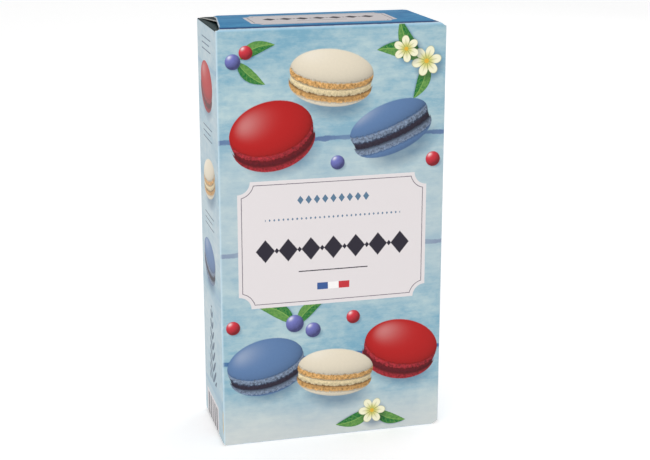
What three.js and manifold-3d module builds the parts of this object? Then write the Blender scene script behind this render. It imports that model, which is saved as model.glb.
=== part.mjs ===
// A shut folding carton for a dozen macarons: a sleeve of printed board with four upright folds, closed by
// glued flaps at both ends. It is full and can't be seen into, so it is one solid.
// Millimetres, +Z up. The front panel faces -Y, and the origin lies under the middle of the carton.
import * as THREE from "three";
import { mergeVertices } from "three/addons/utils/BufferGeometryUtils.js";
import Module from "manifold-3d";

const wasm = await Module();
wasm.setup();

// Driving dimensions
const WIDTH = 110; // across the front panel
const DEPTH = 50; // front to back
const HEIGHT = 202; // between the outer faces of the two closing flaps
const BOARD = 0.5; // thickness of the board
const FOLD = 0.9; // outer radius of an upright fold
const FRONT_CROWN = 0.6; // how far the middle of the front and back panels bows out
const SIDE_CROWN = 0.3; // the same for the two side panels
const SEAM_INSET = 1.4; // the back panel's glued edge, in from the side

// The closure at each end. At each of its sides, the side panel drops this far below the closing flap's face,
// and the flap's hinge and its free end stop this far in from the carton's side.
const LEFT = { drop: 0.7, hinge: 2.5, free: 8 };
const RIGHT = { drop: 1.8, hinge: 4.2, free: 5.2 };
const HINGE_RADIUS = 0.6; // the fold between a large panel and its flap
const TAPER_REACH = 0.82; // share of the depth over which the closing flap narrows
const FREE_MARGIN = 1; // its free edge stops this far short of the far panel
const FREE_CORNER = 1.8; // the free edge's corners are cut off at this size
const INNER_INSET = 9; // the flap underneath narrows to this far in from the sides
const INNER_TAPER = 20; // over this much of the depth
const DUST_REACH = 12; // how far in each end flap can be seen under the closing flap
const DUST_DROP = 3.2; // how far it slopes down over that reach
const DECK = 6; // the folded flaps and what they rest on, down from the closure's face

// Fineness of the curved forms
const LONG_STEPS = 12;
const SHORT_STEPS = 6;
const HEIGHT_STEPS = 14;
const FOLD_STEPS = 4;
const ARC_SEGMENTS = 3;

const halfWidth = WIDTH / 2 - SIDE_CROWN; // to a side panel's folds
const halfDepth = DEPTH / 2 - FRONT_CROWN; // to a large panel's folds
const wallHeight = HEIGHT - 2 * LEFT.drop;
const clear = 1; // how far a cutting shape runs past what it cuts

// A closed geometry as a solid that can be joined and cut
function solid(geometry) {
  const bare = geometry.index ? geometry.toNonIndexed() : geometry.clone();
  bare.deleteAttribute("normal");
  bare.deleteAttribute("uv");
  const merged = mergeVertices(bare, 1e-4);
  return new wasm.Manifold(
    new wasm.Mesh({
      numProp: 3,
      vertProperties: merged.attributes.position.array,
      triVerts: new Uint32Array(merged.index.array),
    }),
  );
}

// A joined solid back as a geometry
function geometryOf(made) {
  const mesh = made.getMesh();
  return new THREE.BufferGeometry()
    .setAttribute("position", new THREE.BufferAttribute(mesh.vertProperties, 3))
    .setIndex(new THREE.BufferAttribute(mesh.triVerts, 1))
    .toNonIndexed();
}

// A block between two corners
function block(low, high) {
  const size = new THREE.Vector3().subVectors(high, low);
  const middle = new THREE.Vector3().addVectors(low, high).multiplyScalar(0.5);
  return solid(new THREE.BoxGeometry(size.x, size.y, size.z).translate(middle.x, middle.y, middle.z));
}

function extruded(outline, length, steps = 1) {
  return new THREE.ExtrudeGeometry(outline, {
    depth: length,
    steps,
    curveSegments: ARC_SEGMENTS,
    bevelEnabled: false,
  });
}

// An outline in x and y, between two heights
function plate(outline, low, high) {
  return solid(extruded(outline, high - low).translate(0, 0, low));
}

// An outline in x and z, between two places along y
function upright(outline, near, far) {
  return solid(extruded(outline, far - near).rotateX(Math.PI / 2).translate(0, far, 0));
}

// An outline in y and z, between two places along x
function lengthwise(outline, low, high) {
  const turn = new THREE.Matrix4().makeBasis(
    new THREE.Vector3(0, 1, 0),
    new THREE.Vector3(0, 0, 1),
    new THREE.Vector3(1, 0, 0),
  );
  return solid(extruded(outline, high - low).applyMatrix4(turn).translate(low, 0, 0));
}

// A solid moved, turned or mirrored by a matrix. A mirror turns the faces inside out, so they are put right.
function moved(made, matrix) {
  const geometry = geometryOf(made).applyMatrix4(matrix);
  if (matrix.determinant() < 0) {
    const corners = geometry.attributes.position;
    const last = new THREE.Vector3();
    const middle = new THREE.Vector3();
    for (let i = 0; i < corners.count; i += 3) {
      middle.fromBufferAttribute(corners, i + 1);
      last.fromBufferAttribute(corners, i + 2);
      corners.setXYZ(i + 1, last.x, last.y, last.z);
      corners.setXYZ(i + 2, middle.x, middle.y, middle.z);
    }
  }
  return solid(geometry);
}

const turnedRound = new THREE.Matrix4().makeRotationZ(Math.PI);
const ontoTop = new THREE.Matrix4().makeTranslation(0, 0, HEIGHT);
const ontoBottom = new THREE.Matrix4().makeScale(1, 1, -1);

function shapeOf(points) {
  return new THREE.Shape(points.map(([x, y]) => new THREE.Vector2(x, y)));
}

// The sleeve's section: a rectangle with round folds, and points along its sides for the crowns
function sleeveOutline() {
  const corners = [
    { x: 1, y: -1, steps: SHORT_STEPS },
    { x: 1, y: 1, steps: LONG_STEPS },
    { x: -1, y: 1, steps: SHORT_STEPS },
    { x: -1, y: -1, steps: LONG_STEPS },
  ];
  const quarter = Math.PI / 2;
  const folds = corners.map(({ x, y }, corner) => {
    const middle = new THREE.Vector2(x * (halfWidth - FOLD), y * (halfDepth - FOLD));
    return Array.from({ length: FOLD_STEPS + 1 }, (_, i) => {
      const angle = (corner - 1 + i / FOLD_STEPS) * quarter;
      return new THREE.Vector2(Math.cos(angle), Math.sin(angle)).multiplyScalar(FOLD).add(middle);
    });
  });
  const points = folds.flatMap((fold, corner) => {
    const { steps } = corners[corner];
    const start = fold[FOLD_STEPS];
    const end = folds[(corner + 1) % folds.length][0];
    const along = Array.from({ length: steps - 1 }, (_, i) => start.clone().lerp(end, (i + 1) / steps));
    return [...fold, ...along];
  });
  return new THREE.Shape(points);
}

// How far a panel bows out at a place, from nothing at its edges to the whole crown in its middle
function bow(across, up, crown) {
  return crown * Math.max(0, 1 - across ** 2) * Math.max(0, 1 - up ** 2);
}

// The four walls, filled, with each panel slightly crowned
function sleeve() {
  const geometry = extruded(sleeveOutline(), wallHeight, HEIGHT_STEPS);
  const places = geometry.attributes.position;
  const flatX = halfWidth - FOLD;
  const flatY = halfDepth - FOLD;
  for (let i = 0; i < places.count; i++) {
    const x = places.getX(i);
    const y = places.getY(i);
    const up = (2 * places.getZ(i)) / wallHeight - 1;
    if (Math.abs(x) < flatX) places.setY(i, y + Math.sign(y) * bow(x / flatX, up, FRONT_CROWN));
    if (Math.abs(y) < flatY) places.setX(i, x + Math.sign(x) * bow(y / flatY, up, SIDE_CROWN));
  }
  return solid(geometry.translate(0, 0, LEFT.drop));
}

// A closure is made in a frame of its own: 0 is the closing flap's outer face, -z goes into the carton, and
// the flap's hinge is at -Y. This is the flap seen from outside. It narrows away from its hinge.
function flapOutline() {
  const hinge = -halfDepth;
  const narrow = hinge + 2 * halfDepth * TAPER_REACH;
  const free = halfDepth - FREE_MARGIN;
  const left = LEFT.free - WIDTH / 2;
  const right = WIDTH / 2 - RIGHT.free;
  return shapeOf([
    [LEFT.hinge - WIDTH / 2, hinge],
    [WIDTH / 2 - RIGHT.hinge, hinge],
    [right, narrow],
    [right, free - FREE_CORNER],
    [right - FREE_CORNER, free],
    [left + FREE_CORNER, free],
    [left, free - FREE_CORNER],
    [left, narrow],
  ]);
}

// The curve of a shoulder, from the hinge's end down to the side panel: its control point and its end
function shoulderCurve({ drop, hinge }, side) {
  const start = side * (WIDTH / 2 - hinge);
  const end = side * (halfWidth - FOLD);
  return { start, control: start + (end - start) / 3, end, low: -drop };
}

// A hinged panel's top, seen from the front: its ends curve down from the hinge to the side panels
function shoulderOutline(leftSide, rightSide) {
  const left = shoulderCurve(leftSide, -1);
  const right = shoulderCurve(rightSide, 1);
  const shape = new THREE.Shape();
  shape.moveTo(left.end, -DECK);
  shape.lineTo(right.end, -DECK);
  shape.lineTo(right.end, right.low);
  shape.quadraticCurveTo(right.control, 0, right.start, 0);
  shape.lineTo(left.start, 0);
  shape.quadraticCurveTo(left.control, 0, left.end, left.low);
  shape.closePath();
  return shape;
}

// What is cut off the sleeve beyond the right shoulders, where the side panel drops further than on the left
function rightShoulderCut() {
  const { start, control, end, low } = shoulderCurve(RIGHT, 1);
  const shape = new THREE.Shape();
  shape.moveTo(start, 0);
  shape.quadraticCurveTo(control, 0, end, low);
  shape.lineTo(WIDTH, low);
  shape.lineTo(WIDTH, clear);
  shape.lineTo(start, clear);
  shape.closePath();
  return upright(shape, -DEPTH, DEPTH);
}

// The board of a panel and its flap, in y and z: up the panel, round the hinge and along the flap
function bentBoard(top, reach) {
  const outside = -halfDepth;
  const shape = new THREE.Shape();
  shape.moveTo(outside, -DECK);
  shape.lineTo(outside + BOARD, -DECK);
  shape.lineTo(outside + BOARD, top - BOARD);
  shape.lineTo(reach, top - BOARD);
  shape.lineTo(reach, top);
  shape.absarc(outside + HINGE_RADIUS, top - HINGE_RADIUS, HINGE_RADIUS, Math.PI / 2, Math.PI, false);
  shape.closePath();
  return shape;
}

// The closing flap, with the top of the panel it hinges on
function closingFlap() {
  const board = lengthwise(bentBoard(0, halfDepth), -halfWidth, halfWidth);
  const fromAbove = plate(flapOutline(), -DECK, clear);
  const fromFront = upright(shoulderOutline(LEFT, RIGHT), -halfDepth - clear, HINGE_RADIUS - halfDepth);
  return board.intersect(fromAbove.add(fromFront));
}

// The flap underneath, one board lower, with the top of the panel it hinges on. It is made at -Y like the
// other and turned round afterwards, so its left and right change places.
function innerFlap() {
  const board = lengthwise(bentBoard(-BOARD, 0), -halfWidth, halfWidth);
  const end = WIDTH / 2 - INNER_INSET;
  const outline = shapeOf([
    [RIGHT.hinge - WIDTH / 2, -halfDepth],
    [WIDTH / 2 - LEFT.hinge, -halfDepth],
    [end, INNER_TAPER - halfDepth],
    [end, halfDepth],
    [-end, halfDepth],
    [-end, INNER_TAPER - halfDepth],
  ]);
  const fromAbove = plate(outline, -DECK, clear);
  const fromFront = upright(shoulderOutline(RIGHT, LEFT), -halfDepth - clear, HINGE_RADIUS - halfDepth);
  return board.intersect(fromAbove.add(fromFront));
}

// The flaps that close one end, and what they lie on
function closure() {
  const end = WIDTH / 2 - DUST_REACH;
  const inside = halfDepth - BOARD / 2;
  const deck = block(new THREE.Vector3(-end, -inside, -DECK), new THREE.Vector3(end, inside, -BOARD));
  return closingFlap().add(moved(innerFlap(), turnedRound)).add(deck);
}

// What is open above the end flap on one side, where it slopes in under the closing flap
function dustGap(side, { drop }) {
  const fold = side * (halfWidth - FOLD);
  const inner = side * (WIDTH / 2 - DUST_REACH);
  const inside = halfDepth - BOARD;
  const outline = shapeOf([
    [fold, -drop],
    [inner, -drop - DUST_DROP],
    [inner, clear],
    [fold, clear],
  ]);
  return upright(outline, -inside, inside);
}

// What is cut away along the glued upright corner. The back panel ends short of the side panel's fold, and
// that fold lies one board deeper, because its glue flap goes in behind the back panel.
function glueSeam() {
  const cutEdge = halfWidth - SEAM_INSET;
  const deeper = halfDepth - BOARD;
  const beyond = WIDTH;
  const shape = new THREE.Shape();
  shape.moveTo(cutEdge, deeper);
  shape.absarc(halfWidth - FOLD, deeper - FOLD, FOLD, Math.PI / 2, 0, true);
  shape.lineTo(beyond, deeper - FOLD);
  shape.lineTo(beyond, beyond);
  shape.lineTo(cutEdge, beyond);
  shape.closePath();
  return plate(shape, -clear, HEIGHT + clear);
}

function carton() {
  let made = sleeve();
  for (const place of [ontoTop, ontoBottom]) {
    const cuts = [dustGap(-1, LEFT), dustGap(1, RIGHT), rightShoulderCut()];
    for (const cut of cuts) made = made.subtract(moved(cut, place));
    made = made.add(moved(closure(), place));
  }
  return made.subtract(glueSeam());
}

const board = new THREE.MeshStandardMaterial({ color: 0x9fc4d6, roughness: 0.45, metalness: 0 });
const mesh = new THREE.Mesh(geometryOf(carton()), board);
mesh.name = "carton";

const pack = new THREE.Group();
pack.add(mesh);

export default pack;
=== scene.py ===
# %% [markdown]
# # A printed folding carton, shut
#
# A food carton is one flat sheet of board, printed, cut and creased, then folded into a sleeve and glued shut
# at both ends. This lesson folds such a sheet from four walls, prints it with shader nodes, and stands it on
# a pale floor. The CAD model gives the frame: the box that the carton fills, with its front facing -Y.

import math

import bpy
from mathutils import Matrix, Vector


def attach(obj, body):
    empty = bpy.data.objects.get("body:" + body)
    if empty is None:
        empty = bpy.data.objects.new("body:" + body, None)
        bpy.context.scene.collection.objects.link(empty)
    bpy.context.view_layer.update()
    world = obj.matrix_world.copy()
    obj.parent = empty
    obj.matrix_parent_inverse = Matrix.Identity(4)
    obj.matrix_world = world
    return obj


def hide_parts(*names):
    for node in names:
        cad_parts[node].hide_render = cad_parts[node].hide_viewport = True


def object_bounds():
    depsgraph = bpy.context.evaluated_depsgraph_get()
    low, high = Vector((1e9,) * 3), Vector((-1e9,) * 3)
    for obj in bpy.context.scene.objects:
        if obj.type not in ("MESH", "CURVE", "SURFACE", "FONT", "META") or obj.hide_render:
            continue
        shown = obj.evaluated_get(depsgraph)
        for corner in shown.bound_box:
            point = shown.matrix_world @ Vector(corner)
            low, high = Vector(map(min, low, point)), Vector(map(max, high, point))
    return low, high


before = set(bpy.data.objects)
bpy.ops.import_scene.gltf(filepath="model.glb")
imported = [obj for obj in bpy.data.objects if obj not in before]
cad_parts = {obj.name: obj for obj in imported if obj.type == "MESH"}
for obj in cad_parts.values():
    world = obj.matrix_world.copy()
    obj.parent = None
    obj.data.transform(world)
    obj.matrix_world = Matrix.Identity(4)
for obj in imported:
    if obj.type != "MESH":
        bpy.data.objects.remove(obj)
cad_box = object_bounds()
bpy.ops.object.select_all(action="DESELECT")

mm = 0.001
WIDTH, DEPTH, HEIGHT = [(high - low) / mm for low, high in zip(*cad_box)]
print(f"the carton is {WIDTH:.1f} mm wide, {DEPTH:.1f} mm deep and {HEIGHT:.1f} mm high")

# %% [markdown]
# ## The sizes of the folds
#
# The walls of a full carton bow out a little in their middle, so the folds lie just inside the box. The
# upright folds in half-millimetre board have an outer radius of about a millimetre, the hinges less. The side
# panels drop a little below the closing flap, more on the right than on the left. Every size here is in
# millimetres, and z = 0 is half way up the carton while it is being made, because its two ends are alike.

# %% Sizes
BOARD = 0.5
FOLD = 0.9
FRONT_CROWN = 0.6
SIDE_CROWN = 0.3
HINGE = 0.6
LEFT_DROP, RIGHT_DROP = 0.7, 1.8

half_width = WIDTH / 2 - SIDE_CROWN
half_depth = DEPTH / 2 - FRONT_CROWN
half_height = HEIGHT / 2
wall_top = half_height - RIGHT_DROP
front_flat = half_width - FOLD
side_flat = half_depth - FOLD
print(f"folds {2 * half_width:.1f} mm and {2 * half_depth:.1f} mm apart, walls {2 * wall_top:.1f} mm high")

# %% [markdown]
# ## Tools for folding board
#
# Board is folded as a sheet with no thickness first. An edge is carried on to make a flat stretch, or turned
# about a line to make a fold. Both act on what is selected, so each tool takes a test of place, selects what
# passes it, and then calls one operator. With no test, the edge that was made last is used again.

# %% Folding tools
NEAR = 0.01


def select(piece, test):
    """Selects the points of a piece whose place in mm passes the test, with the edges between them."""
    bpy.ops.object.select_all(action="DESELECT")
    piece.select_set(True)
    bpy.context.view_layer.objects.active = piece
    points = piece.data.vertices
    for point in points:
        point.select = bool(test(*[c / mm for c in point.co]))
    for group in (piece.data.edges, piece.data.polygons):
        for part in group:
            part.select = all(points[i].select for i in part.vertices)


def edit(piece, test, operator, **values):
    """Runs one edit-mode operator on what the test selects."""
    if test:
        select(piece, test)
    bpy.ops.object.mode_set(mode="EDIT")
    operator(**values)
    bpy.ops.object.mode_set(mode="OBJECT")


def carry(piece, test, by):
    """Carries an edge on by a distance in mm, which makes a flat stretch of board."""
    move = {"value": [c * mm for c in by]}
    edit(piece, test, bpy.ops.mesh.extrude_edges_move, TRANSFORM_OT_translate=move)


def fold(piece, test, centre, axis, degrees, steps):
    """Turns an edge about a line, which makes a fold. Seen along the axis, it turns anticlockwise."""
    angle = math.radians(degrees)
    edit(piece, test, bpy.ops.mesh.spin, steps=steps, angle=angle, center=[c * mm for c in centre], axis=axis)


def shift(piece, test, by):
    """Moves the points that pass the test by a distance in mm."""
    edit(piece, test, bpy.ops.transform.translate, value=[c * mm for c in by])


bpy.context.scene.tool_settings.mesh_select_mode = (False, True, False)

# %% [markdown]
# ## A wall
#
# Each wall starts as a plane that faces -Y, cut into squares so that it can bow later. Only its upper half
# is made: a mirror gives the lower half. The folds along its upright edges go half way round, to where the
# next wall's fold meets them.

# %% Start a wall
SQUARES = 12
FOLD_STEPS = 3


def start_wall(name, left, right, out):
    """The upper half of a wall between two places across, this far out from the middle."""
    bpy.ops.mesh.primitive_plane_add(
        size=1,
        location=((left + right) / 2 * mm, -out * mm, wall_top / 2 * mm),
        rotation=(math.radians(90), 0, 0),
    )
    wall = bpy.context.object
    wall.name = name
    wall.scale = ((right - left) * mm, wall_top * mm, 1)
    bpy.ops.object.transform_apply(location=True, rotation=True, scale=True)
    edit(wall, lambda x, y, z: True, bpy.ops.mesh.subdivide, number_cuts=SQUARES - 1)
    return wall


def fold_edge(wall, at, out, degrees=45):
    """Folds the wall's upright edge at this place back by so many degrees."""
    side = math.copysign(1, at)
    centre = (at, FOLD - out, 0)
    steps = FOLD_STEPS * round(degrees / 45)
    fold(wall, lambda x, y, z: side * x > side * at - NEAR, centre, (0, 0, 1), -side * degrees, steps)


# %% [markdown]
# ## A flap
#
# A flap grows out of a wall's top edge: the edge is brought to where the hinge starts, folded over, and
# carried on. That leaves rows of points right across the wall. The flap is narrower than its wall, so the
# ends of each row are then moved in, and on the hinge they follow a short curve from the upright folds. Where
# the side panel comes up higher, the upright fold is lifted after it.

# %% Make a flap
HINGE_STEPS = 4


def make_flap(wall, out, top, radius, degrees, reaches):
    """Folds the wall's top edge over and carries it on. Returns the place of each row in y and z."""
    start = top - radius
    bring = carry if start > wall_top else shift
    bring(wall, lambda x, y, z: z > wall_top - NEAR and y < NEAR - out, (0, 0, start - wall_top))
    fold(wall, None, (0, radius - out, start), (1, 0, 0), degrees, HINGE_STEPS)
    turns = [math.radians(degrees * step / HINGE_STEPS) for step in range(HINGE_STEPS + 1)]
    rows = [(radius - out - radius * math.cos(turn), start + radius * math.sin(turn)) for turn in turns]
    slope = math.radians(degrees - 90)
    for reach in reaches:
        by = (0, reach * math.cos(slope), -reach * math.sin(slope))
        carry(wall, None, by)
        rows.append((rows[-1][0] + by[1], rows[-1][1] + by[2]))
    return rows


def hinge_ends(limits, rows, ends, drops):
    """How far across the rows of a hinge go, on a curve from the wall's own limits in to these ends."""
    top = rows[HINGE_STEPS][1]
    curved = []
    for _, z in rows[: HINGE_STEPS + 1]:
        outs = [min(1, (top - z) / drop) ** (2 / 3) for drop in drops]
        curved.append([end + (limit - end) * out for limit, end, out in zip(limits, ends, outs)])
    return curved


def lift_fold(wall, limit, top):
    """Lifts the top of the upright fold at this limit."""
    side = math.copysign(1, limit)
    shift(wall, lambda x, y, z: side * (x - limit) > -NEAR and z > wall_top - NEAR, (0, 0, top - wall_top))


def narrow(wall, limits, rows, ends):
    """Moves in the left and right end of each row to these places across."""
    for (row_y, row_z), places in zip(rows, ends):
        for side, limit, place in zip((-1, 1), limits, places):
            shift(
                wall,
                lambda x, y, z: side * (x - limit) > -NEAR and abs(y - row_y) + abs(z - row_z) < NEAR,
                (place - limit, 0, 0),
            )


# %% [markdown]
# ## Finishing a wall
#
# The mirror makes the lower end. A painted weight, full in the middle of the panel and nothing at its edges,
# tells a Displace modifier how far the panel bows. Then the wall is lifted and turned to its side of the
# carton, and Solidify gives the board its thickness inwards. The printed side, the flaps and the bare board
# have material slots of their own: Solidify gives the inside and the cut edges the last one.

# %% Finish a wall
WALL_PRINT, FLAP_PRINT, BARE = range(3)
carton_pieces = []


def apply_modifier(piece, kind, **values):
    bpy.context.view_layer.objects.active = piece
    made = piece.modifiers.new(kind.title(), kind)
    for name, value in values.items():
        setattr(made, name, value)
    bpy.ops.object.modifier_apply(modifier=made.name)


def bow(piece, limits, rise):
    """Bows the panel between its limits across by the rise, which is in mm."""
    left, right = limits
    weights = piece.vertex_groups.new(name="bow")
    for point in piece.data.vertices:
        x, _, z = [c / mm for c in point.co]
        across = (2 * x - left - right) / (right - left)
        up = z / wall_top
        if abs(across) < 1 and abs(up) < 1:
            weights.add([point.index], (1 - across**2) * (1 - up**2), "REPLACE")
    bend = {"strength": rise * mm, "mid_level": 0, "direction": "NORMAL"}
    apply_modifier(piece, "DISPLACE", **bend, vertex_group="bow")


def finish_wall(piece, limits, rise, turn):
    apply_modifier(piece, "MIRROR", use_axis=(False, False, True), merge_threshold=0.01 * mm)
    bow(piece, limits, rise)
    for face in piece.data.polygons:
        flap = abs(face.normal.z) > 0.6
        face.material_index = FLAP_PRINT if flap else WALL_PRINT
    piece.location.z = half_height * mm
    piece.rotation_euler.z = math.radians(turn)
    bpy.ops.object.select_all(action="DESELECT")
    piece.select_set(True)
    bpy.ops.object.transform_apply(location=True, rotation=True, scale=True)
    for _ in range(3):
        piece.data.materials.append(None)
    board = {"thickness": BOARD * mm, "offset": -1, "use_even_offset": True}
    apply_modifier(piece, "SOLIDIFY", **board, material_offset=BARE, material_offset_rim=BARE)
    bpy.ops.object.shade_smooth_by_angle(angle=math.radians(35))
    carton_pieces.append(piece)
    size = [d / mm for d in piece.dimensions]
    print(f"{piece.name}: {size[0]:.1f} x {size[1]:.1f} x {size[2]:.1f} mm, {len(piece.data.polygons)} faces")


# %% [markdown]
# ## The front panel and its closing flaps
#
# The closing flap hinges on the front panel and lies over everything else. It narrows away from its hinge,
# more at its left end than at its right, and its two free corners are cut off.

# %% The front panel
FREE_MARGIN = 1.0
FREE_CORNER = 1.8
TAPER_REACH = 0.82
STEP = 0.1


def from_sides(left, right):
    """Two places across, this far in from the carton's left and right sides."""
    return (left - WIDTH / 2, WIDTH / 2 - right)


front_limits = (-front_flat, front_flat)
front = start_wall("front_panel", *front_limits, half_depth)
for limit in front_limits:
    fold_edge(front, limit, half_depth)

taper = 2 * half_depth * TAPER_REACH - HINGE
square = 2 * half_depth - FREE_MARGIN - FREE_CORNER - HINGE - taper
rows = make_flap(front, half_depth, half_height, HINGE, 90, (taper, square, FREE_CORNER))

hinge_at = from_sides(2.5, 4.2)
free_at = from_sides(8, 5.2)
cut_at = (free_at[0] + FREE_CORNER, free_at[1] - FREE_CORNER)
ends = hinge_ends(front_limits, rows, hinge_at, (LEFT_DROP, RIGHT_DROP)) + [free_at, free_at, cut_at]
narrow(front, front_limits, rows, ends)
lift_fold(front, -front_flat, half_height - HINGE - STEP)
finish_wall(front, front_limits, FRONT_CROWN, 0)

# %% [markdown]
# ## The back panel and its inner flaps
#
# The flap on the back panel is folded in first, so it lies one board lower, and shows only past the closing
# flap's edges. The back panel's cut edge is glued over the side panel, so on that side it has no fold and
# ends short of the corner. It is made facing -Y like the front, and then turned half round.

# %% The back panel
SEAM_INSET = 1.4
GLUE = 0.05
INNER_INSET = 9
INNER_TAPER = 20

back_limits = (SEAM_INSET - half_width, front_flat)
back = start_wall("back_panel", *back_limits, half_depth)
fold_edge(back, front_flat, half_depth)
inner_top = half_height - BOARD - GLUE
rows = make_flap(back, half_depth, inner_top, HINGE, 90, (INNER_TAPER,))
turned_ends = (-hinge_at[1], -hinge_at[0])
inner_at = from_sides(INNER_INSET, INNER_INSET)
hinge_rows = hinge_ends(back_limits, rows, turned_ends, (RIGHT_DROP, LEFT_DROP))
narrow(back, back_limits, rows, hinge_rows + [inner_at])
lift_fold(back, front_flat, inner_top - HINGE - STEP)
finish_wall(back, back_limits, FRONT_CROWN, 180)

# %% [markdown]
# ## The side panels and their end flaps
#
# The side panels end lower than the others, and their end flaps slope in under the closing flap, which
# leaves the shadowed gap at each end of the top. The right side also carries the glue flap: its fold at the
# back lies one board deeper, goes all the way round, and runs on behind the back panel.

# %% The side panels
DUST_HINGE = 0.7
DUST_SLOPE = 15
DUST_REACHES = (12, 14)
DUST_INSETS = (0, 0.2, 0.3, 0.4, 0.4, 0.8, 4)
GLUE_FLAP = 12


def make_side(name, left, right, drop):
    side = start_wall(name, left, right, half_width)
    rows = make_flap(side, half_width, half_height - drop, DUST_HINGE, 90 + DUST_SLOPE, DUST_REACHES)
    slack = [(left + inset, right - inset) for inset in DUST_INSETS]
    narrow(side, (left, right), rows, slack)
    return side


left_side = make_side("left_side", -side_flat, side_flat, LEFT_DROP)
for limit in (-side_flat, side_flat):
    fold_edge(left_side, limit, half_width)
finish_wall(left_side, (-side_flat, side_flat), SIDE_CROWN, -90)

deep_flat = side_flat - BOARD - GLUE
right_side = make_side("right_side", -side_flat, deep_flat, RIGHT_DROP)
fold_edge(right_side, -side_flat, half_width)
fold_edge(right_side, deep_flat, half_width, 90)
carry(right_side, None, (0, GLUE_FLAP, 0))
finish_wall(right_side, (-side_flat, deep_flat), SIDE_CROWN, 90)

# %% [markdown]
# ## Printing with nodes
#
# An image would blur close up and carry someone's picture. So every shape of the print is worked out by
# shader nodes, from its place on the wall in millimetres. To keep the Math nodes readable, a `Field` stands
# for one changing number, and adding or multiplying fields adds the nodes.

# %% Fields
def feed(socket, value):
    """Joins another node's output to a socket, or sets the socket to a plain number or colour."""
    value = getattr(value, "socket", value)
    if isinstance(value, bpy.types.NodeSocket):
        socket.id_data.links.new(value, socket)
    else:
        socket.default_value = value


def add_node(tree, kind, inputs=(), **settings):
    node = tree.nodes.new("ShaderNode" + kind)
    for name, value in settings.items():
        setattr(node, name, value)
    for key, value in dict(inputs).items():
        feed(node.inputs[key], value)
    return node


def sum_of(operation, *values):
    """One Math node on fields and plain numbers."""
    tree = next(value.socket.id_data for value in values if isinstance(value, Field))
    return Field(add_node(tree, "Math", dict(enumerate(values)), operation=operation).outputs[0])


class Field:
    """A number that changes over the print."""

    def __init__(self, socket):
        self.socket = socket

    def __add__(self, other):
        return sum_of("ADD", self, other)

    def __sub__(self, other):
        return sum_of("SUBTRACT", self, other)

    def __rsub__(self, other):
        return sum_of("SUBTRACT", other, self)

    def __mul__(self, other):
        return sum_of("MULTIPLY", self, other)

    def __truediv__(self, other):
        return sum_of("DIVIDE", self, other)

    def __rtruediv__(self, other):
        return sum_of("DIVIDE", other, self)

    def __pow__(self, other):
        return sum_of("POWER", self, other)

    def __abs__(self):
        return sum_of("ABSOLUTE", self)

    __radd__ = __add__
    __rmul__ = __mul__


def larger(one, other):
    return sum_of("MAXIMUM", one, other)


def smaller(one, other):
    return sum_of("MINIMUM", one, other)


def root(field):
    return sum_of("SQRT", larger(field, 0))


def held(field):
    """A field kept from 0 to 1."""
    return smaller(larger(field, 0), 1)


def inside(depth, soft):
    """1 where the depth inside a shape is over 0 and 0 outside it, with an edge this soft."""
    limits = {"Value": depth, "From Min": -soft / 2, "From Max": soft / 2}
    node = add_node(depth.socket.id_data, "MapRange", limits, interpolation_type="SMOOTHSTEP", clamp=False)
    return Field(node.outputs[0])


def to_nearest(field, pitch):
    """The distance to the nearest of lines that repeat at a pitch."""
    return sum_of("PINGPONG", field, pitch / 2)


# %% [markdown]
# ## Colours, places and unevenness
#
# An ink is named by the red, green and blue that a picture shows, and made into light for the shader. A place
# is stretched before it reaches a Noise texture, so that one texture gives round mottling, long brush strokes
# or fine grain.

# %% Colours, places and noise
def ink(red, green, blue):
    """A colour for the shader from its 0-255 values as a picture shows them."""
    parts = [value / 255 for value in (red, green, blue)]
    return (*[p / 12.92 if p < 0.04045 else ((p + 0.055) / 1.055) ** 2.4 for p in parts], 1)


def blend(mask, under, over, how="MIX"):
    """Lays one colour over another where the mask is 1."""
    sockets = [getattr(value, "socket", value) for value in (mask, under, over)]
    tree = next(socket.id_data for socket in sockets if hasattr(socket, "id_data"))
    node = add_node(tree, "Mix", {0: mask, 6: under, 7: over}, data_type="RGBA", blend_type=how)
    return node.outputs[2]


def dim(colour, light):
    """A colour times a field of light."""
    grey = add_node(light.socket.id_data, "CombineColor", {0: light, 1: light, 2: light}).outputs[0]
    return blend(1.0, colour, grey, "MULTIPLY")


def mottle(place, stretch, detail=2, rough=0.5):
    """Noise of about 0.5, with so many patches to one unit along each way of the place."""
    wide = add_node(place.id_data, "VectorMath", {0: place, 1: stretch}, operation="MULTIPLY").outputs[0]
    values = {"Vector": wide, "Scale": 1, "Detail": detail, "Roughness": rough}
    return Field(add_node(place.id_data, "TexNoise", values).outputs[0])


# %% [markdown]
# ## Groups for what is printed more than once
#
# Each motif is a node group with named inputs and outputs, made once and placed many times. It draws itself
# about its own middle, one unit large, and gives a colour, a mask of where it covers, and a mask of the soft
# shadow that it throws.

# %% Start a group
SOCKETS = {float: "NodeSocketFloat", tuple: "NodeSocketColor", type(None): "NodeSocketVector"}
SPOT = {"Across": 0.0, "Up": 0.0}
MOTIF = {"Color": tuple, "Mask": float, "Shadow": float}


def start_group(name, takes, gives):
    """A new shader group: a start value for each input, None for a place, and a kind for each output."""
    group = bpy.data.node_groups.new(name, "ShaderNodeTree")
    for label, value in takes.items():
        made = group.interface.new_socket(label, in_out="INPUT", socket_type=SOCKETS[type(value)])
        if value is not None:
            made.default_value = value
    for label, kind in gives.items():
        group.interface.new_socket(label, in_out="OUTPUT", socket_type=SOCKETS[kind])
    entry = group.nodes.new("NodeGroupInput").outputs
    given = [Field(entry[label]) if type(value) is float else entry[label] for label, value in takes.items()]
    return group, given


def end_group(group, **results):
    ends = group.nodes.new("NodeGroupOutput").inputs
    for label, value in results.items():
        feed(ends[label], value)
    print(f"{group.name}: {len(group.nodes)} nodes")


# %% [markdown]
# ## Painted boards
#
# The ground of the print is a row of boards painted light blue. Broad washes, brush strokes along the boards
# and a fine dry grain vary the blue. A dark line of wandering width and strength, in a soft shade, parts two
# boards.

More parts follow.
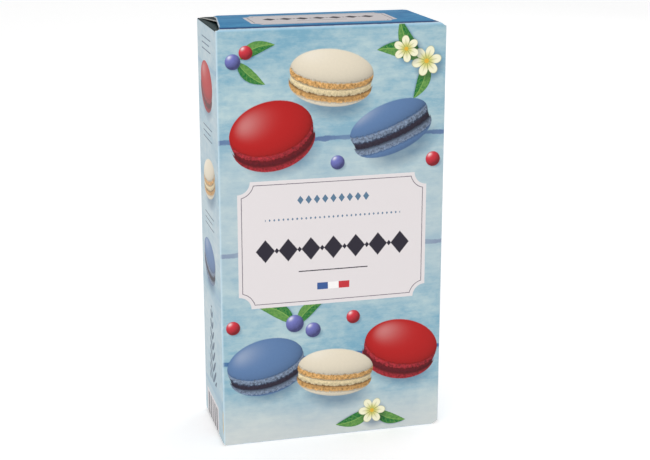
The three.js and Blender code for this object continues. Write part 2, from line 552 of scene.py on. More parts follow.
# %% Painted boards
BOARD_PITCH = 54

boards, (sheet, up, start, light, deep, line) = start_group(
    "Painted boards",
    {
        "Sheet": None,
        "Up": 0.0,
        "Start": 0.0,
        "Light": ink(182, 205, 209),
        "Deep": ink(122, 169, 191),
        "Line": ink(44, 92, 148),
    },
    {"Color": tuple},
)
wash = mottle(sheet, (0.022, 1, 0.05), detail=3)
stroke = mottle(sheet, (0.035, 1, 0.55), detail=4, rough=0.62)
grain = mottle(sheet, (0.5, 1, 1.6), detail=3, rough=0.7)
wander = mottle(sheet, (0.06, 1, 0.02), detail=3, rough=0.6)
bleed = mottle(sheet, (0.16, 1, 0.3), detail=3, rough=0.6)
apart = to_nearest(up - start + 1.6 * (wander - 0.5), BOARD_PITCH)
tone = 0.5 + 2.2 * (wash - 0.5) + 0.65 * (stroke - 0.5) + 0.5 * (grain - 0.5) + 1.4 * (bleed - 0.5)
shade = inside(4 - apart, 9) * 0.32
painted = blend(held(tone - shade), deep, light)
width = 2.8 * larger(bleed - 0.40, 0)
strength = held(wander * 1.6 + 0.12)
painted = blend(inside(width + 0.75 - apart, 0.6) * strength, painted, line)
end_group(boards, Color=painted)

# %% [markdown]
# ## The macaron
#
# A plain macaron, seen a little from above: two smooth shells with ruffled feet, and a filling between.
# `Lean` is the sine of the angle that it is seen from. With it, each point of the print gets its height on
# the front of the rim, in which the radius is 1 and the filling lies at 0.

# %% The macaron
macaron, (x, y, shell, foot, filling, lean, grain) = start_group(
    "Macaron",
    {
        **SPOT,
        "Shell": ink(200, 60, 60),
        "Foot": ink(150, 40, 40),
        "Filling": ink(120, 30, 40),
        "Lean": 0.4,
        "Grain": 0.5,
    },
    MOTIF,
)
upright = root(1 - lean * lean)
facing = root(1 - x * x)
height = (y + lean * facing) / upright

# %% [markdown]
# The upper shell is the top of a flattened ball. The line of sight through each point meets it at the nearer
# root of a square equation. The way that the ball faces there tells how much light it gets from above.

# %% The light on the shell
DOME, DOME_START, RIM = 0.42, 0.15, 0.25
SKY = (-0.26, 0.95, -0.02)

lift = y * upright - DOME_START
bend = upright * upright + lean * lean / DOME**2
slant = lift * lean / DOME**2 - y * lean * upright
rest = x * x + y * y * lean * lean + lift * lift / DOME**2 - 1
near = (root(slant * slant - bend * rest) - slant) / bend
up_on = (lift + near * lean) / DOME**2
out_on = near * upright - y * lean
length = root(x * x + up_on * up_on + out_on * out_on)
lit = (SKY[0] * x + SKY[1] * up_on + SKY[2] * out_on) / larger(length, 0.1)
glow = larger(lit, 0)
rim_light = 0.78 - 0.14 * x + 0.14 * facing
on_dome = inside(height - RIM, 0.03)

# %% [markdown]
# Up the rim follow the lower shell, its foot, the filling, the upper foot and the upper shell. A colour ramp
# holds them: its red says where a foot is, its green where the filling is, and its blue how light it is.

# %% The bands of the rim
BAND_STOPS = (
    (0.00, 0, 0, 0.45),
    (0.12, 0, 0, 0.74),
    (0.22, 0, 0, 0.92),
    (0.25, 0, 0, 0.60),
    (0.28, 1, 0, 0.92),
    (0.38, 1, 0, 0.72),
    (0.415, 1, 0, 0.30),
    (0.44, 0, 1, 0.72),
    (0.55, 0, 1, 1.00),
    (0.58, 0.5, 0.5, 0.38),
    (0.61, 1, 0, 0.80),
    (0.72, 1, 0, 1.00),
    (0.745, 0, 0, 0.62),
    (0.775, 0, 0, 1.00),
)

ruffle = grain - 0.5
bands = add_node(macaron, "ValToRGB", {0: height + 0.5 + 0.13 * ruffle})
ramp = bands.color_ramp.elements
ramp[1].position = BAND_STOPS[-1][0]
for spot, *_ in BAND_STOPS[1:-1]:
    ramp.new(spot)
for stop, (_, *tint) in zip(ramp, BAND_STOPS):
    stop.color = (*tint, 1)
parts = add_node(macaron, "SeparateColor", {0: bands.outputs[0]}).outputs
in_foot, in_filling, band_light = [Field(part) for part in parts[:3]]

# %% [markdown]
# The feet are bubbly, so the grain of the print makes their light uneven, and the smooth shell has a small
# bright shine. The dome's curve, taken above and below, is the outline, and a soft shadow lies under all.

# %% The macaron's colour, outline and shadow
SHINE_INK = (1, 0.98, 0.95, 1)

dome_light = 0.40 + 0.60 * glow + 0.10 * ruffle
shine = glow**45 * on_dome * 0.34
bubbles = 1 + in_foot * ruffle * 3.2 + in_filling * ruffle * 1.2
light = band_light * larger(bubbles, 0.2) * (rim_light + on_dome * (dome_light - rim_light))
colour = blend(in_filling, blend(in_foot, shell, foot), filling)
colour = blend(shine, dim(colour, light), SHINE_INK)

reach = root(lean * lean + DOME**2 * upright * upright) * facing + DOME_START * upright
edge = 1 - abs(x) - 0.03 * in_filling + 0.05 * in_foot * ruffle
mask = inside(smaller(reach - y, y + reach), 0.03) * inside(edge, 0.03)
low = y + 0.5
fall = 1 - root((x - 0.12) * (x - 0.12) + low * low / 0.30)
shadow = held(fall * 2)
end_group(macaron, Color=colour, Mask=mask, Shadow=shadow)

# %% [markdown]
# ## Leaves, sugar pearls and rosettes
#
# Small things fill the ground between the macarons. A leaf lies from 0 to 1 along its rib, bends to one
# side, and has a light half, a dark half and slanting veins. A sugar pearl is a plain shaded ball. A rosette
# has six round petals, counted off by the angle about its middle.

# %% Leaf
leaf, (x, y, width, sweep, dark, pale, grain) = start_group(
    "Leaf",
    {
        **SPOT,
        "Width": 0.15,
        "Sweep": 0.1,
        "Dark": ink(16, 110, 50),
        "Pale": ink(136, 178, 92),
        "Grain": 0.5,
    },
    MOTIF,
)
room = larger(x * (1 - x), 0)
y = y - 4 * sweep * room
half = 4 * width * room**0.9 * (1.25 - 0.5 * x)
upper = inside(y, 0.02)
tone = held(0.12 + 0.34 * upper + 1.4 * (grain - 0.5) * (0.4 + x))
vein = inside(0.006 - to_nearest(x - 0.9 * abs(y), 0.13), 0.016) * 0.4
rib = inside(0.010 - abs(y), 0.012) * 0.8
colour = blend(larger(vein, rib), blend(tone, dark, pale), pale)
colour = blend(inside(0.02 - half + abs(y), 0.02) * 0.4, colour, dark)
fallen = inside(half - abs(y + 0.05) - 0.04, 0.08)
end_group(leaf, Color=colour, Mask=inside(half - abs(y) - 0.008, 0.014), Shadow=fallen)

# %% Sugar pearl
PEARL_LIGHT = (-0.45, 0.62, 0.64)

pearl, (x, y, skin, grain) = start_group(
    "Sugar pearl",
    {**SPOT, "Skin": ink(190, 30, 40), "Grain": 0.5},
    MOTIF,
)
from_middle = root(x * x + y * y)
toward = root(1 - x * x - y * y)
glow = larger(PEARL_LIGHT[0] * x + PEARL_LIGHT[1] * y + PEARL_LIGHT[2] * toward, 0)
light = 0.34 + 0.80 * glow + 0.4 * (grain - 0.5)
colour = blend(glow**22 * 0.7, dim(skin, light), (1, 1, 1, 1))
under_x, under_y = x - 0.25, y + 0.45
fall = 1.15 - root(under_x * under_x + under_y * under_y * 1.7)
end_group(pearl, Color=colour, Mask=inside(1 - from_middle, 0.12), Shadow=held(fall * 1.6))

# %% Rosette
CREASE_INK, STAMEN_INK = ink(132, 134, 66), ink(226, 178, 60)

rosette, (x, y, petal, heart) = start_group(
    "Rosette",
    {**SPOT, "Petal": ink(244, 240, 208), "Heart": ink(206, 204, 110)},
    MOTIF,
)
away = root(x * x + y * y)
turn = 3 * sum_of("ARCTAN2", y, x)
along = abs(sum_of("COSINE", turn))
beside = abs(sum_of("SINE", turn))
tip = 0.42 + 0.56 * along**0.6
colour = blend(inside(0.42 - away, 0.5), petal, heart)
crease = inside(0.03 - beside * away * 0.33, 0.05) * inside(tip - 0.3 - away, 0.2)
parted = inside(0.14 - along * away * 2, 0.16)
rim = inside(0.035 - abs(tip - away), 0.05)
colour = blend(larger(larger(crease * 0.35, parted * 0.75), rim * 0.6), colour, CREASE_INK)
colour = blend(inside(0.15 - away, 0.05), colour, STAMEN_INK)
under_x, under_y = x - 0.12, y + 0.30
fall = 1.1 - root(under_x * under_x + under_y * under_y)
shadow = held(fall * 2.2)
end_group(rosette, Color=colour, Mask=inside(tip - away, 0.05), Shadow=shadow)

# %% [markdown]
# ## Plaques, ornament rows, rules and sprigs
#
# The places that tell a buyer what is in a pack stay free of words. They hold plaques with scooped corners,
# rows of lozenges, ragged rules and a leafy sprig. These groups work in millimetres and give only masks, so
# each wall can print them in its own inks.

# %% Plaque
plaque, (x, y, half_wide, half_high, scoop) = start_group(
    "Plaque",
    {**SPOT, "Half width": 46.0, "Half height": 31.0, "Scoop": 6.0},
    {"Fill": float, "Line": float},
)
past_x, past_y = abs(x) - half_wide, abs(y) - half_high
corner = root(past_x * past_x + past_y * past_y) - scoop
depth = smaller(0 - larger(past_x, past_y), corner)
end_group(plaque, Fill=inside(depth, 0.15), Line=inside(0.17 - abs(depth - 1.9), 0.14))

# %% Lozenge row
lozenges, (x, y, pitch, half_wide, half_high, span) = start_group(
    "Lozenge row",
    {**SPOT, "Pitch": 10.0, "Half width": 4.0, "Half height": 5.0, "Span": 40.0},
    {"Mask": float},
)
depth = 1 - to_nearest(x, pitch) / half_wide - abs(y) / half_high
end_group(lozenges, Mask=inside(depth, 0.1) * inside(span - abs(x), 0.2))

# %% Ruled lines
rules, (x, y, pitch, thick, half_wide, half_high, ragged) = start_group(
    "Ruled lines",
    {**SPOT, "Pitch": 3.0, "Thickness": 0.5, "Half width": 10.0, "Half height": 6.0, "Ragged": 0.4},
    {"Mask": float},
)
row = sum_of("ROUND", y / pitch)
chance = Field(add_node(rules, "TexWhiteNoise", {"W": row}, noise_dimensions="1D").outputs[0])
line_end = half_wide * (1 - 2 * ragged * chance)
drawn = inside(thick / 2 - to_nearest(y, pitch), 0.1) * inside(line_end - x, 0.15)
end_group(rules, Mask=drawn * inside(half_wide + x, 0.15) * inside(half_high - abs(y), 0.2))

# %% Sprig
sprig, (x, y, pairs) = start_group("Sprig", {**SPOT, "Pairs": 7.0}, {"Mask": float})
out = abs(x)
longest = 0.06 + 0.20 * (1 - y)
spread = 2 * out / longest - 1
plump = root(1 - spread * spread) * 0.34 / pairs
blade = inside(plump - to_nearest(y - 0.9 * out, 1 / pairs) - 0.007, 0.012)
stem = inside(0.008 - out, 0.008)
whole = inside(1 - y, 0.01) * inside(y, 0.01)
end_group(sprig, Mask=larger(blade, stem) * whole)

# %% [markdown]
# ## Varnish, board fibre, worn folds and their painted highlights
#
# The printed face has a semi-gloss varnish over pressed fibres: it is a little rougher in patches, and a fine
# grain shows in raking light. Along folds and cut edges a broken pale line is drawn. It is partly ink rubbed
# off to the pale board and partly a painted highlight on the crease, with a few scuffs beside it. Both
# effects are groups that every printed face uses.

# %% Varnish, wear and painted crease highlights
varnish, (place,) = start_group("Varnish", {"Place": None}, {"Roughness": float, "Height": float})
fibre = mottle(place, (0.9, 0.9, 0.9), detail=4, rough=0.7)
patches = mottle(place, (0.03, 0.03, 0.03), detail=3)
end_group(varnish, Roughness=0.45 + 0.16 * (patches - 0.5) + 0.10 * (fibre - 0.5), Height=fibre)

worn_and_lit_masks = {"Line": float, "Scuff": float}
wear_and_crease_light, (place, reach) = start_group("Worn and lit folds", {"Place": None, "Reach": 0.5}, worn_and_lit_masks)
parts = add_node(wear_and_crease_light, "SeparateXYZ", {0: place}).outputs
beside = half_width - abs(Field(parts[0]))
behind = half_depth - abs(Field(parts[1]))
below = half_height - abs(Field(parts[2]) - half_height)
to_fold = smaller(larger(beside, behind), smaller(larger(beside, below), larger(behind, below)))
rub = mottle(place, (0.25, 0.25, 0.12), detail=4, rough=0.65)
flecks = mottle(place, (1.3, 1.3, 0.5), detail=3, rough=0.7)
# The pale line along folds: rubbed ink and a painted highlight on the crease.
line = inside(reach * (0.7 + 1.4 * (rub - 0.5)) - to_fold, 0.35)
scuff = inside(3.2 * (rub - 0.58) - 0.35 * to_fold, 0.25) * inside(flecks - 0.52, 0.1)
end_group(wear_and_crease_light, Line=line, Scuff=scuff)

# %% [markdown]
# ## A printed wall
#
# A `Print` is one wall's material. It reads Object coordinates, which on this carton are its own, and turns
# them into a sheet: millimetres across the wall from its middle, and up from the floor. Printed edges are
# never quite crisp on board, so the places that draw shapes waver by a tenth of a millimetre. Inks are then
# laid on one over another, each with its mask.
#
# Two things keep so long a chain of nodes light enough to render. The motifs take plain numbers for their
# place, and all noise is read from the sheet before any shape is drawn.

# %% A printed wall
SHADOW_INK = ink(58, 108, 150)
WAVER = 0.25
FIBRE_DEPTH = 0.05
RUBBED_AND_LIT_WHITE = ink(208, 224, 234)
RUBBED_TAN = ink(214, 208, 194)


class Print:
    """A wall's material, whose colour is built up in layers of ink."""

    def __init__(self, name, across, up, seed):
        self.material = bpy.data.materials.new(name)
        self.material.use_nodes = True
        self.tree = self.material.node_tree
        where = add_node(self.tree, "TexCoord").outputs["Object"]
        self.place = self.vector_sum("MULTIPLY", where, (1 / mm,) * 3).outputs[0]
        u, v = [Field(self.vector_sum("DOT_PRODUCT", self.place, way).outputs[1]) for way in (across, up)]
        self.sheet = add_node(self.tree, "CombineXYZ", {0: u, 1: seed, 2: v}).outputs[0]
        self.crumb = mottle(self.sheet, (0.75, 1, 0.75), detail=3, rough=0.7)
        waver = WAVER * (mottle(self.sheet, (0.9, 1, 0.9), detail=2) - 0.5)
        self.across = u + waver
        self.up = v + waver

    def vector_sum(self, operation, one, other):
        return add_node(self.tree, "VectorMath", {0: one, 1: other}, operation=operation)

    def use(self, group, **values):
        """Places a group, with the wall's crumb for its grain, and gives its outputs by name."""
        node = add_node(self.tree, "Group", node_tree=group)
        for label, value in values.items():
            feed(node.inputs[label.replace("_", " ")], value)
        if "Grain" in node.inputs:
            feed(node.inputs["Grain"], self.crumb)
        return node.outputs

    def draw(self, group, spot, turn=0, size=1, **values):
        """Places a motif at a spot, turned by degrees, with so many millimetres to its unit."""
        right, over = math.cos(math.radians(turn)) / size, math.sin(math.radians(turn)) / size
        off_x = -(spot[0] * right + spot[1] * over)
        off_y = spot[0] * over - spot[1] * right
        x = sum_of("MULTIPLY_ADD", self.across, right, self.up * over + off_x)
        y = sum_of("MULTIPLY_ADD", self.up, right, self.across * -over + off_y)
        return self.use(group, Across=x, Up=y, **values)

    def start_with_boards(self, start, **inks):
        self.colour = self.use(boards, Sheet=self.sheet, Up=self.up, Start=start, **inks)["Color"]

    def lay(self, colour, mask, how="MIX"):
        self.colour = blend(mask, self.colour, colour, how)

    def picture(self, group, spot, turn, size, **values):
        """Lays a motif and its shadow on the wall."""
        made = self.draw(group, spot, turn, size, **values)
        self.lay(SHADOW_INK, Field(made["Shadow"]) * 0.55, "MULTIPLY")
        self.lay(made["Color"], made["Mask"])

    def finish(self, gloss=0.2):
        """Adds the varnish and the worn folds with their painted crease highlight, and joins all to the
        surface.
        """
        surface = self.tree.nodes["Principled BSDF"]
        rubbed_and_lit = self.use(wear_and_crease_light, Place=self.place)
        # Worn ink and painted crease highlight, laid in pale board colours.
        worn_and_lit = larger(Field(rubbed_and_lit["Line"]) * 0.75, Field(rubbed_and_lit["Scuff"]) * 0.8)
        self.lay(blend(held(4 * (self.crumb - 0.58)), RUBBED_AND_LIT_WHITE, RUBBED_TAN), worn_and_lit)
        coat = self.use(varnish, Place=self.place)
        feed(surface.inputs["Base Color"], self.colour)
        feed(surface.inputs["Roughness"], Field(coat["Roughness"]) + 0.35 * worn_and_lit)
        grain = {"Height": coat["Height"], "Strength": 0.10, "Distance": FIBRE_DEPTH * mm}
        feed(surface.inputs["Normal"], add_node(self.tree, "Bump", grain).outputs[0])
        surface.inputs["Specular IOR Level"].default_value = gloss
        print(f"{self.material.name}: {len(self.tree.nodes)} nodes")
        return self.material


# %% [markdown]
# ## Inks and flavours
#
# The three kinds of macaron and the small things keep the same inks on every wall.

# %% Inks
RED = {"Shell": ink(186, 26, 26), "Foot": ink(168, 42, 52), "Filling": ink(104, 18, 30)}
CREAM = {"Shell": ink(232, 221, 199), "Foot": ink(218, 168, 104), "Filling": ink(238, 218, 174)}
BLUE = {"Shell": ink(96, 128, 172), "Foot": ink(126, 142, 166), "Filling": ink(50, 44, 60)}
RED_PEARL = {"Skin": ink(206, 52, 66)}
BLUE_PEARL = {"Skin": ink(112, 116, 184)}
PLAQUE_INK = ink(226, 220, 221)
DARK_INK = ink(44, 40, 52)
SLATE_INK = ink(92, 122, 148)

# %% [markdown]
# ## The front print
#
# A wide plaque takes the middle of the front. Three macarons stand in a triangle above it and three in a fan
# below it, with leaves, sugar pearls and rosettes in the corners between them. The boards are paler at the
# foot and behind the plaque. A pale strip just under the hinge is a painted highlight on the crease, and a
# pale line along the left fold is a painted highlight with some ink rubbed thin.

# %% The front print
PALE_FOOT, PALE_MIDDLE = ink(214, 214, 210), ink(206, 212, 212)
HINGE_HIGHLIGHT_INK, FOLD_HIGHLIGHT_AND_RUB_INK = ink(176, 214, 236), ink(196, 220, 232)

front_print = Print("Front print", (1, 0, 0), (0, 0, 1), seed=3)
front_print.start_with_boards(42)
front_print.lay(PALE_FOOT, inside(16 - front_print.up, 34) * 0.75)
front_print.lay(PALE_MIDDLE, inside(34 - abs(front_print.up - 112), 50) * 0.4)
# A pale strip just under the hinge: painted highlight on the lit crease.
front_print.lay(HINGE_HIGHLIGHT_INK, inside(front_print.up + 1.1 - HEIGHT, 1.2) * 0.7)
# A pale line along the left fold: painted highlight, with some ink rubbed thin.
front_print.lay(FOLD_HIGHLIGHT_AND_RUB_INK, inside(0.9 - half_width - front_print.across, 0.9) * 0.6)

# %% Leaves, rosettes and pearls of the front
for spot, turn, size, sweep in (
    ((42, 186), 118, 21, 0.12),
    ((44, 185), 168, 24, -0.10),
    ((45, 184), 250, 19, 0.10),
    ((-44, 188), 20, 18, 0.12),
    ((-45, 187), -40, 17, -0.08),
    ((-19, 60), 152, 22, -0.12),
    ((-18, 59), 40, 19, 0.12),
    ((20, 12), 200, 20, 0.1),
    ((21, 11), -22, 18, -0.1),
):
    front_print.picture(leaf, spot, turn, size, Sweep=sweep)
for spot, turn, size in (((45, 184), 10, 7.5), ((35, 190), 35, 6.5), ((20, 11), 0, 7)):
    front_print.picture(rosette, spot, turn, size)
for spot, size, kind in (
    ((-47, 187), 3.6, BLUE_PEARL),
    ((-41, 191), 3.2, RED_PEARL),
    ((-19, 60), 4.4, BLUE_PEARL),
    ((-10, 56), 3.8, BLUE_PEARL),
    ((10, 61), 3.4, RED_PEARL),
    ((49, 137), 3.6, RED_PEARL),
    ((-49, 60), 3.4, RED_PEARL),
    ((2, 138), 3.4, BLUE_PEARL),
):
    front_print.picture(pearl, spot, 0, size, **kind)

# %% Macarons of the front
for spot, turn, size, lean, kind in (
    ((-1, 178), -7, 20, 0.35, CREAM),
    ((-29, 152), 13, 20, 0.62, RED),
    ((28, 153), 21, 20, 0.20, BLUE),
    ((-33, 39), 12, 19, 0.50, BLUE),
    ((34, 42), -14, 19, 0.60, RED),
    ((1, 33), -6, 19, 0.30, CREAM),
):
    front_print.picture(macaron, spot, turn, size, Lean=lean, **kind)

# %% [markdown]
# ## The front plaque
#
# Plain fields, lozenge rows and ruled blocks serve on every wall, so each has a helper. Here they make the
# plaque and the strip of three colours at its foot.

# %% The front plaque
def patch(sheet, spot, half_wide, half_high, colour, scoop=0.01):
    """A plain field of ink, or a plaque if its corners are scooped. Gives the group's outputs."""
    made = sheet.draw(plaque, spot, Half_width=half_wide, Half_height=half_high, Scoop=scoop)
    sheet.lay(colour, made["Fill"])
    return made


def lozenge_row(sheet, spot, colour, pitch, half_wide, half_high, span):
    size = {"Half_width": half_wide, "Half_height": half_high, "Span": span}
    made = sheet.draw(lozenges, spot, Pitch=pitch, **size)
    sheet.lay(colour, made["Mask"])


def ruled_block(sheet, spot, colour, pitch, thick, half_wide, half_high, ragged=0.35, turn=0):
    size = {"Half_width": half_wide, "Half_height": half_high, "Ragged": ragged}
    made = sheet.draw(rules, spot, turn, Pitch=pitch, Thickness=thick, **size)
    sheet.lay(colour, made["Mask"])


LINE_INK = ink(104, 96, 108)
STRIP = ((-5.3, ink(60, 92, 150)), (0, ink(246, 244, 242)), (5.3, ink(196, 52, 60)))

made = patch(front_print, (0, 100), 46, 31, PLAQUE_INK, scoop=6)
front_print.lay(LINE_INK, made["Line"])
lozenge_row(front_print, (0, 121), SLATE_INK, 4, 1.5, 2.1, 18)
lozenge_row(front_print, (0, 112), SLATE_INK, 2.2, 0.5, 0.7, 33)
lozenge_row(front_print, (0, 97), DARK_INK, 11, 4.6, 5.6, 38.5)
lozenge_row(front_print, (0, 97), DARK_INK, 5.5, 1.1, 1.4, 33)
patch(front_print, (0, 86), 17, 0.25, DARK_INK)
for shift_x, colour in STRIP:
    patch(front_print, (shift_x, 78), 2.65, 1.7, colour)
front_material = front_print.finish()

# %% [markdown]
# ## The ends of the carton
#
# The closing flaps carry a deeper blue than the walls, with a dark painted line along the hinge, a small
# plaque of their own, and a pale line where the board was cut at the left. The flaps under them show only in
# the narrow gaps at the ends of the top, and are coloured a plain dark blue-grey there as painted shade.

# %% The closing flaps' print
LID_BOARDS = {"Light": ink(76, 157, 202), "Deep": ink(32, 117, 174), "Line": ink(16, 62, 122)}
HINGE_INK, LID_PLAQUE_INK = ink(16, 62, 116), ink(216, 211, 213)

lid_print = Print("Lid print", (1, 0, 0), (0, 1, 0), seed=40)
lid_print.start_with_boards(1.4 - half_depth, **LID_BOARDS)
lid_print.lay(HINGE_INK, inside(4.6 - half_depth - lid_print.up, 4) * 0.9)
made = patch(lid_print, (0, 1), 35, 15, LID_PLAQUE_INK, scoop=4)
lid_print.lay(LINE_INK, made["Line"])
lozenge_row(lid_print, (0, 3), DARK_INK, 8, 3.3, 3.6, 28)
lozenge_row(lid_print, (0, 3), DARK_INK, 4, 0.8, 1.0, 24)
patch(lid_print, (0, -4), 12, 0.25, DARK_INK)

narrowed = (lid_print.up + half_depth) / (2 * half_depth * TAPER_REACH)
cut_edge = smaller(hinge_at[0] + (free_at[0] - hinge_at[0]) * narrowed, free_at[0])
behind_hinge = inside(lid_print.up + half_depth - 8, 6)
lid_print.lay(RUBBED_AND_LIT_WHITE, inside(0.5 - abs(lid_print.across - cut_edge), 0.3) * behind_hinge * 0.85)
lid_material = lid_print.finish(gloss=0.05)

# %% The flaps' painted shade
end_flap_shade = Print("End flap painted shade", (0, 1, 0), (1, 0, 0), seed=60)
# Dark inks on the end flaps: painted shade for the gap under the closing flap.
end_flap_shade.start_with_boards(26, Light=ink(44, 66, 68), Deep=ink(8, 26, 30))
end_flap_shade_material = end_flap_shade.finish(gloss=0.03)

inner_flap_shade = Print("Inner flap painted shade", (1, 0, 0), (0, 1, 0), seed=80)
# Dark inks on the inner flap: painted shade for the gap under the closing flap.
inner_flap_shade.start_with_boards(0, Light=ink(36, 58, 62), Deep=ink(6, 22, 28))
inner_flap_shade_material = inner_flap_shade.finish(gloss=0.03)

# %% [markdown]
# ## The side prints
#
# Both narrow sides have paler, greyer boards. The left one has the three macarons one above another, with
# short ruled blocks between them, a leafy sprig, and plain bars at its foot, where its front fold is rubbed
# through to the board. The right one, which the photo does not show, is finished alike: a plaque of rules
# over a ruled grid, and one macaron.

# %% The left side print
SIDE_BOARDS = {"Light": ink(196, 208, 212), "Deep": ink(156, 184, 198), "Line": ink(152, 180, 198)}
SIDE_INK = ink(74, 96, 118)
BAR_GROUND, WORN_THROUGH = ink(214, 210, 212), ink(204, 178, 128)

left_print = Print("Left side print", (0, -1, 0), (0, 0, 1), seed=100)
left_print.start_with_boards(20, **SIDE_BOARDS)
for spot, turn, lean, kind in (
    ((-1, 172), -10, 0.55, RED),
    ((2, 128), 12, 0.3, CREAM),
    ((-2, 86), -8, 0.45, BLUE),
):
    left_print.picture(macaron, spot, turn, 15, Lean=lean, **kind)
for height in (192, 150, 107):
    ruled_block(left_print, (1, height), SIDE_INK, 2.8, 0.5, 12, 3.9)
left_print.lay(SIDE_INK, left_print.draw(sprig, (0, 24), 0, 40, Pairs=7)["Mask"])

patch(left_print, (-3, 5), 15.5, 10, BAR_GROUND)
for pitch, thick in ((3.1, 0.6), (5.3, 1.5)):
    ruled_block(left_print, (-3, 5), DARK_INK, pitch, thick, 8.4, 13, ragged=0, turn=90)
rubbed_fold = inside(left_print.across + 1.1 - half_depth, 0.8) * inside(5.5 - abs(left_print.up - 12), 4)
left_print.lay(WORN_THROUGH, rubbed_fold * 0.8)
left_material = left_print.finish()

# %% The right side print
right_print = Print("Right side print", (0, 1, 0), (0, 0, 1), seed=120)
right_print.start_with_boards(34, **SIDE_BOARDS)
right_print.picture(macaron, (0, 170), 8, 15, Lean=0.4, **RED)
right_print.picture(leaf, (-2, 146), 30, 16, Sweep=0.1)
right_print.picture(leaf, (-2, 146), 150, 15, Sweep=-0.1)
right_print.picture(pearl, (-2, 146), 0, 3.6, **BLUE_PEARL)
made = patch(right_print, (0, 84), 19, 48, PLAQUE_INK, scoop=4)
right_print.lay(LINE_INK, made["Line"])
ruled_block(right_print, (0, 103), DARK_INK, 3.4, 0.45, 14.5, 22)
ruled_block(right_print, (0, 58), DARK_INK, 5.2, 0.3, 14.5, 16, ragged=0)
for shift_x in (-14.5, 4, 14.5):
    patch(right_print, (shift_x, 58), 0.16, 15.75, DARK_INK)
right_material = right_print.finish()

# %% [markdown]
# ## The back print
#
# The back is guessed as well: the same boards, a tall plaque of ruled lines where a pack tells how to serve
# what it holds, and two macarons with leaves over it.

# %% The back print
back_print = Print("Back print", (-1, 0, 0), (0, 0, 1), seed=140)
back_print.start_with_boards(30)
for spot, turn, size, sweep in (
    ((1, 166), 70, 19, 0.12),
    ((1, 166), 112, 21, -0.12),
    ((-30, 26), 160, 19, 0.1),
    ((-29, 26), 20, 18, -0.1),
):
    back_print.picture(leaf, spot, turn, size, Sweep=sweep)
back_print.picture(rosette, (1, 165), 0, 7.5)
back_print.picture(pearl, (-29, 26), 0, 4.2, **BLUE_PEARL)
back_print.picture(pearl, (-21, 22), 0, 3.6, **RED_PEARL)
for spot, turn, lean, kind in (
    ((-28, 168), 10, 0.55, BLUE),
    ((29, 167), -12, 0.35, CREAM),
    ((26, 27), -8, 0.55, RED),
):
    back_print.picture(macaron, spot, turn, 19, Lean=lean, **kind)
made = patch(back_print, (0, 96), 45, 46, PLAQUE_INK, scoop=6)
back_print.lay(LINE_INK, made["Line"])
lozenge_row(back_print, (0, 132), DARK_INK, 9, 3.6, 4.2, 31)
ruled_block(back_print, (0, 108), SIDE_INK, 4.2, 0.6, 37, 15)
ruled_block(back_print, (0, 72), SIDE_INK, 4.2, 0.6, 37, 13)
back_material = back_print.finish()

# %% [markdown]
# ## Bare board
#
# Inside and on its cut edges the board is unprinted: pale grey-white, matt, with fine fibres both lighter and
# darker than the rest. It shows as a light line along the cut ends of the flaps.

# %% Bare board
DARK_FIBRE, PALE_FIBRE = ink(196, 196, 192), ink(232, 232, 228)

bare_board = bpy.data.materials.new("Bare board")
bare_board.use_nodes = True
tree = bare_board.node_tree
where = add_node(tree, "TexCoord").outputs["Object"]
place = add_node(tree, "VectorMath", {0: where, 1: (1 / mm,) * 3}, operation="MULTIPLY").outputs[0]
fibres = mottle(place, (0.6, 0.6, 2.2), detail=5, rough=0.75)
clouds = mottle(place, (0.08, 0.08, 0.08), detail=2)
tone = held(0.5 + 2.2 * (fibres - 0.5) + 1.2 * (clouds - 0.5))
surface = tree.nodes["Principled BSDF"]
feed(surface.inputs["Base Color"], blend(tone, DARK_FIBRE, PALE_FIBRE))
feed(surface.inputs["Roughness"], 0.86 + 0.12 * (fibres - 0.5))
bump = add_node(tree, "Bump", {"Height": fibres, "Strength": 0.3, "Distance": FIBRE_DEPTH * mm})
feed(surface.inputs["Normal"], bump.outputs[0])

# %% [markdown]
# Each wall now gets its print, the print of its flaps, and bare board for its inside and its cut edges.

# %% Dress the walls
DRESS = (
    (front, front_material, lid_material),
    (back, back_material, inner_flap_shade_material),
    (left_side, left_material, end_flap_shade_material),
    (right_side, right_material, end_flap_shade_material),
)
for wall, wall_material, flap_material in DRESS:
    wall.data.materials[WALL_PRINT] = wall_material
    wall.data.materials[FLAP_PRINT] = flap_material
    wall.data.materials[BARE] = bare_board
    print(f"{wall.name}: {', '.join(m.name for m in wall.data.materials)}")

# %% [markdown]
# ## Riding on the frame
#
# The four walls stand in for the CAD carton, which is hidden. It has one body and no joint, so each of them
# rides on the root.

# %% Hand the pieces to the frame
for piece in carton_pieces:
    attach(piece, "root")
    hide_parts("carton")

# %% [markdown]
# ## The floor and the studio light
#
# A pale floor runs out of sight under a white world, so the carton stands in an even white room. The room
# looks brighter than it lights, and the floor glows a little, so that they meet without a line. A large soft
# light from the front left keeps the front and the left side bright, and a weaker one fills the rest.

# %% The floor
FLOOR_DARK, FLOOR_LIGHT = (0.83, 0.83, 0.83, 1), (0.88, 0.88, 0.88, 1)
FLOOR_GLOW = 0.39

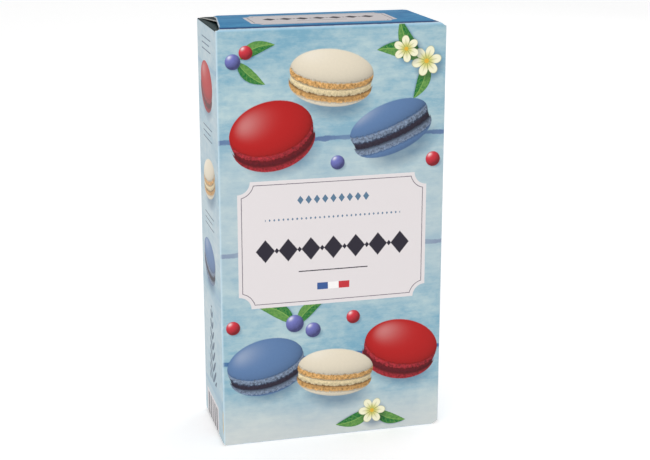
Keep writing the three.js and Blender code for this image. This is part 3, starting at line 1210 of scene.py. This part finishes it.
bpy.ops.mesh.primitive_plane_add(size=8, location=(0, 0, 0))
floor = bpy.context.object
floor.name = "floor"
pale = bpy.data.materials.new("Pale floor")
pale.use_nodes = True
tree = pale.node_tree
where = add_node(tree, "TexCoord").outputs["Object"]
specks = mottle(where, (60, 60, 60), detail=3)
surface = tree.nodes["Principled BSDF"]
feed(surface.inputs["Base Color"], blend(specks, FLOOR_DARK, FLOOR_LIGHT))
surface.inputs["Roughness"].default_value = 0.8
surface.inputs["Emission Color"].default_value = (1, 1, 1, 1)
surface.inputs["Emission Strength"].default_value = FLOOR_GLOW
floor.data.materials.append(pale)

# %% The room and its lights
import mathutils

LIT, SEEN = 0.66, 0.97

world = bpy.data.worlds.new("White room")
bpy.context.scene.world = world
world.use_nodes = True
seen = Field(add_node(world.node_tree, "LightPath").outputs["Is Camera Ray"])
background = world.node_tree.nodes["Background"]
background.inputs["Color"].default_value = (1, 1, 1, 1)
feed(background.inputs["Strength"], LIT + (SEEN - LIT) * seen)


def soft_light(name, spot, size, power):
    bpy.ops.object.light_add(type="AREA", location=spot)
    lamp = bpy.context.object
    lamp.name = name
    lamp.data.size = size
    lamp.data.energy = power
    toward = mathutils.Vector((0, 0, half_height * mm)) - lamp.location
    lamp.rotation_euler = toward.to_track_quat("-Z", "Y").to_euler()


soft_light("key_light", (-0.75, -0.95, 0.55), size=0.8, power=4.0)
soft_light("fill_light", (0.9, 0.8, 0.8), size=0.9, power=3)

# %% [markdown]
# ## The camera
#
# The photograph was taken from in front, a little to the left and above, with a rather short lens, and its
# front panel was then squared up. A camera that keeps its lens unshifted can't square it, so this one stands
# at the angle that lies nearest to the seven corners seen.

# %% Camera
CAMERA_AT = (-0.1666, -0.6505, 0.2892)
LOOKS_DOWN, LOOKS_RIGHT = 15.86, 14.56
SENSOR = 36
LENS_IN_FRAMES = 1421 / 650

bpy.ops.object.camera_add(location=CAMERA_AT)
camera = bpy.context.object
camera.rotation_euler = (math.radians(90 - LOOKS_DOWN), 0, -math.radians(LOOKS_RIGHT))
camera.data.sensor_width = SENSOR
camera.data.lens = LENS_IN_FRAMES * SENSOR
camera.data.clip_start = 0.01
bpy.context.scene.camera = camera
bpy.context.scene.view_settings.view_transform = "Standard"
